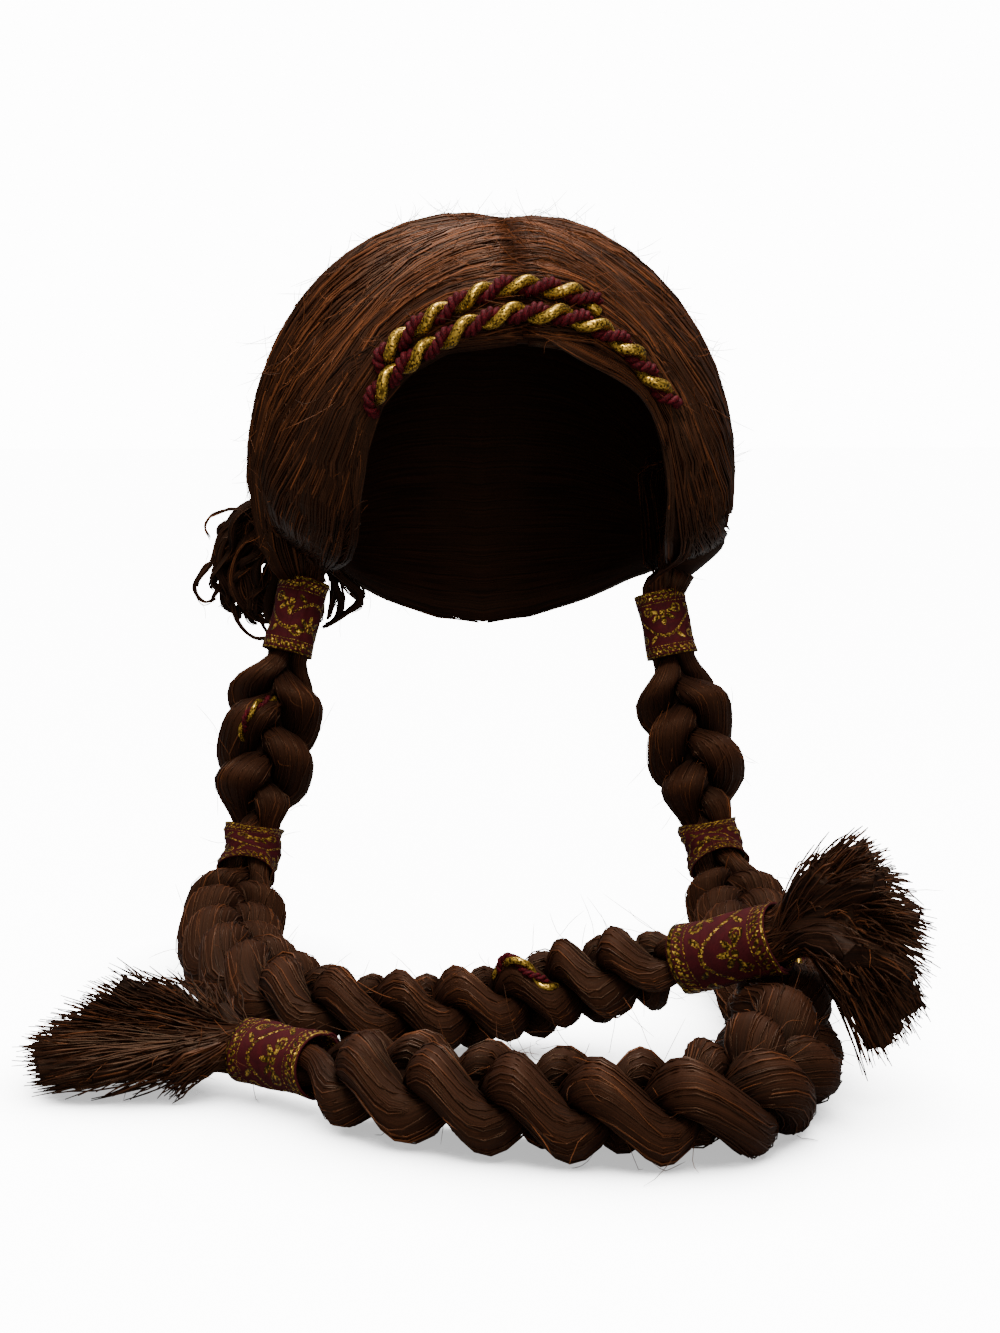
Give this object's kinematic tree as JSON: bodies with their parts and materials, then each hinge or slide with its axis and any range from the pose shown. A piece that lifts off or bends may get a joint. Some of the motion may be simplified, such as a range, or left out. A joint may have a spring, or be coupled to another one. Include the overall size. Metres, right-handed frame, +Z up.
{
  "type": "pigtail wig",
  "caption": "Wig of auburn-brown hair with long plaits held by brocade ribbon cuffs and twisted gold and burgundy cords across the forehead, for a head to wear.",
  "frame": {"origin": "inner top of the crown, where the wig rests on the top of a head", "axes": "+Z up, -Y the way the face looks, +X towards the wearer's left"},
  "size_m": [0.2866, 0.4306, 0.2969],
  "materials": {
    "hair": "dark auburn-brown synthetic hair with a soft sheen",
    "brocade": "burgundy ribbon woven with a gold scroll pattern",
    "gold_yarn": "yarn wrapped in metallic gold thread",
    "burgundy_yarn": "matt twisted burgundy yarn"
  },
  "bodies": {
    "root": {"crown_hair": "hair", "nape_curls": "hair", "right_strand_1": "hair", "right_strand_2": "hair", "right_strand_3": "hair", "left_strand_1": "hair", "left_strand_2": "hair", "left_strand_3": "hair", "right_tuft": "hair", "left_tuft": "hair", "right_top_cuff": "brocade", "right_middle_cuff": "brocade", "right_end_cuff": "brocade", "left_top_cuff": "brocade", "left_middle_cuff": "brocade", "left_end_cuff": "brocade", "upper_cord_gold": "gold_yarn", "lower_cord_gold": "gold_yarn", "right_plait_cord_high": "gold_yarn", "right_plait_cord_low": "gold_yarn", "left_plait_cord": "gold_yarn", "upper_cord_burgundy": "burgundy_yarn", "lower_cord_burgundy": "burgundy_yarn"}
  },
  "joints": []
}
